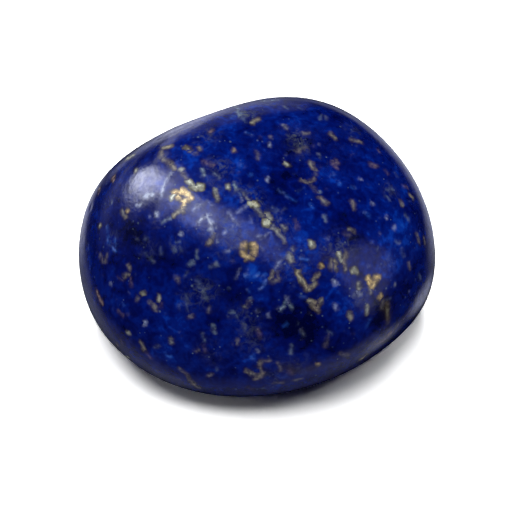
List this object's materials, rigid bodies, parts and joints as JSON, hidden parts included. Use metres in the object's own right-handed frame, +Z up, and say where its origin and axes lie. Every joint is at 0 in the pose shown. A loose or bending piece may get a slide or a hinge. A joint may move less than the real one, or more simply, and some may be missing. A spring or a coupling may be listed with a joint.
{
  "type": "tumbled lapis lazuli stone",
  "caption": "Tumbled, polished lapis lazuli pebble, deep blue with golden pyrite flecks, lying on a small flat spot.",
  "frame": {"origin": "on the resting plane, below the middle of the stone's length and width", "axes": "+X along the stone's length, towards its right end as seen from the front; +Y across it, towards its back; +Z up from the spot it rests on"},
  "size_m": [0.0298, 0.0264, 0.0206],
  "materials": {
    "lapis": "tumbled and polished; deep blue rock with darker clouds, golden pyrite grains and short pale veins"
  },
  "bodies": {
    "root": {"lapis_stone": "lapis"}
  },
  "joints": []
}
